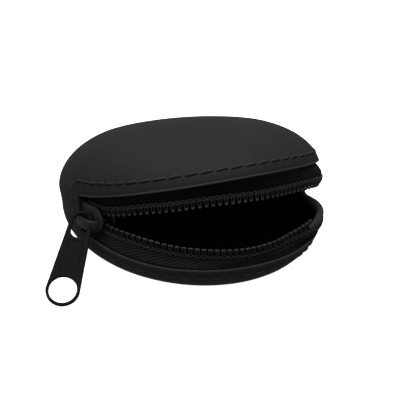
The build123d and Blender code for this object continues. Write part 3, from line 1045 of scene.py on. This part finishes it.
def capsule(r0, v0, r1, v1, seg=20):
    """Outline of two circles and the straight sides between them."""
    L = v1 - v0
    k = (r0 - r1) / L
    a0 = math.asin(clamp(k, -1, 1))
    pts = []
    for i in range(seg + 1):
        a = a0 + (math.pi - 2 * a0) * i / seg
        pts.append((r0 * math.cos(a), v0 - r0 * math.sin(a)))
    for i in range(seg + 1):
        a = math.pi - a0 + (math.pi + 2 * a0) * i / seg
        pts.append((r1 * math.cos(a), v1 - r1 * math.sin(a)))
    return pts


def plate_with_holes(name, outline, holes, t, rim=0.0):
    """Flat plate with holes from a filled 2D curve, with rounded edges."""
    cu = bpy.data.curves.new(name, "CURVE")
    cu.dimensions = "2D"
    cu.fill_mode = "BOTH"
    cu.extrude = (t / 2 - 0.14) * MM
    cu.bevel_depth = 0.14 * MM
    cu.bevel_resolution = 2
    for pts in [outline] + list(holes):
        sp = cu.splines.new("POLY")
        sp.points.add(len(pts) - 1)
        for q, (x, y) in zip(sp.points, pts):
            q.co = (x * MM, y * MM, 0, 1)
        sp.use_cyclic_u = True
    tmp = bpy.data.objects.new(name + "_c", cu)
    bpy.context.scene.collection.objects.link(tmp)
    dg = bpy.context.evaluated_depsgraph_get()
    me = bpy.data.meshes.new_from_object(tmp.evaluated_get(dg))
    bpy.data.objects.remove(tmp)
    bpy.data.curves.remove(cu)
    return me


HEAD_R, HEAD_V, END_R = 3.45, 1.55, 5.0
END_V = reach - END_R
shrink = 0.14
outline = capsule(HEAD_R - shrink, HEAD_V, END_R - shrink, END_V)
circ = lambda r, v, n=32: [(r * math.cos(2 * math.pi * i / n), v + r * math.sin(2 * math.pi * i / n)) for i in range(n)]
eye = []
for i in range(17):
    a = math.pi + math.pi * i / 16
    eye.append(((2.35 + shrink) * math.cos(a), HEAD_V - 0.3 + (2.35 + shrink) * math.sin(a)))
for i in range(17):
    a = math.pi * i / 16
    eye.append(((2.35 + shrink) * math.cos(a), HEAD_V + 2.9 + (2.35 + shrink) * math.sin(a)))
me = plate_with_holes("pull", outline, [eye, circ(4.1 + shrink, END_V)], 0.72)
panel = []
for u, v in ((-2.3, 7.6), (2.3, 7.6), (3.0, END_V - 6.0), (2.3, END_V - 5.15), (0.0, END_V - 4.75), (-2.3, END_V - 5.15), (-3.0, END_V - 6.0)):
    panel.append((u, v))
soft = []
for i in range(len(panel)):
    p0, p1, p2 = Vector(panel[i - 1]), Vector(panel[i]), Vector(panel[(i + 1) % len(panel)])
    a, c = p1.lerp(p0, 0.12), p1.lerp(p2, 0.12)
    for t in (0, 0.5, 1):
        q = a * (1 - t) ** 2 + p1 * (2 * t * (1 - t)) + c * t ** 2
        soft.append((q.x, q.y))
border = plate_with_holes("border", outline, [eye, circ(4.1 + shrink, END_V), soft], 1.0)
bm = bmesh.new()
bm.from_mesh(me)
bm.from_mesh(border)
bm.to_mesh(me)
bm.free()
bpy.data.meshes.remove(border)
mat4 = Matrix((
    (across.x, down.x, face.x, piv.x * MM),
    (across.y, down.y, face.y, piv.y * MM),
    (across.z, down.z, face.z, piv.z * MM),
    (0, 0, 0, 1)))
me.transform(mat4)
if mat4.determinant() < 0:
    me.flip_normals()
me.name = "pull_plate"
pull = bpy.data.objects.new("pull_plate", me)
bpy.context.scene.collection.objects.link(pull)
me.polygons.foreach_set("use_smooth", [True] * len(me.polygons))
paint(pull, pull_mat)
rides(pull, "pull", "pull_tab", slot="hardware")

# ------------------------------------------------------------------ remaining CAD nodes get finished materials
for name, m in (("zip_bottom_stop", metal_mat), ("lower_top_stop", metal_mat), ("upper_top_stop", metal_mat)):
    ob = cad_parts[name]
    ob = ob if hasattr(ob, "material_slots") else bpy.data.objects[name]
    paint(ob, m)

# ------------------------------------------------------------------ stage
me = bpy.data.meshes.new("floor")
s = 1.6
me.from_pydata([(-s, -s, -0.0002), (s, -s, -0.0002), (s, s, -0.0002), (-s, s, -0.0002)], [], [(0, 1, 2, 3)])
floor = bpy.data.objects.new("floor", me)
bpy.context.scene.collection.objects.link(floor)
fm, nt, bs = new_mat("floor", (0.9, 0.9, 0.9), 0.9, 0.05)
bs.inputs["Emission Color"].default_value = (1, 1, 1, 1)
bs.inputs["Emission Strength"].default_value = 1.0
floor.data.materials.append(fm)
# the floor stays out of the purse's own light, as on a cut-out studio shot
floor.visible_diffuse = False
floor.visible_glossy = False

world = bpy.context.scene.world or bpy.data.worlds.new("world")
bpy.context.scene.world = world
world.use_nodes = True
world.node_tree.nodes["Background"].inputs[0].default_value = (1, 1, 1, 1)
world.node_tree.nodes["Background"].inputs[1].default_value = 0.3


def area(name, loc, target, size, power):
    li = bpy.data.lights.new(name, "AREA")
    li.shape = "DISK"
    li.size = size
    li.energy = power
    ob = bpy.data.objects.new(name, li)
    bpy.context.scene.collection.objects.link(ob)
    ob.location = loc
    d = Vector(target) - Vector(loc)
    ob.rotation_euler = d.to_track_quat("-Z", "Y").to_euler()


area("key", (0.05, 0.12, 1.2), (0, 0, 0.01), 1.3, 19.0)
area("fill", (-1.0, -0.1, 0.5), (0, 0, 0.01), 1.0, 3.5)

cam = bpy.data.cameras.new("cam")
cam.sensor_width = 36.0
cam.lens = 120.96
cam.clip_start = 0.01
cam.shift_x = (199.5 - 189.77) / 400
cam.shift_y = (204.93 - 199.5) / 400
cam_ob = bpy.data.objects.new("cam", cam)
bpy.context.scene.collection.objects.link(cam_ob)
right = Vector((0.87589, -0.47358, 0.09239)).normalized()
back = Vector((-0.45517, -0.74744, 0.48389)).normalized()
upv = back.cross(right).normalized()
pos = Vector((0, 0, 0.010)) + back * 0.420
cam_ob.matrix_world = Matrix((
    (right.x, upv.x, back.x, pos.x),
    (right.y, upv.y, back.y, pos.y),
    (right.z, upv.z, back.z, pos.z),
    (0, 0, 0, 1)))
bpy.context.scene.camera = cam_ob
bpy.context.scene.view_settings.view_transform = "Standard"
bpy.context.scene.view_settings.look = "None"
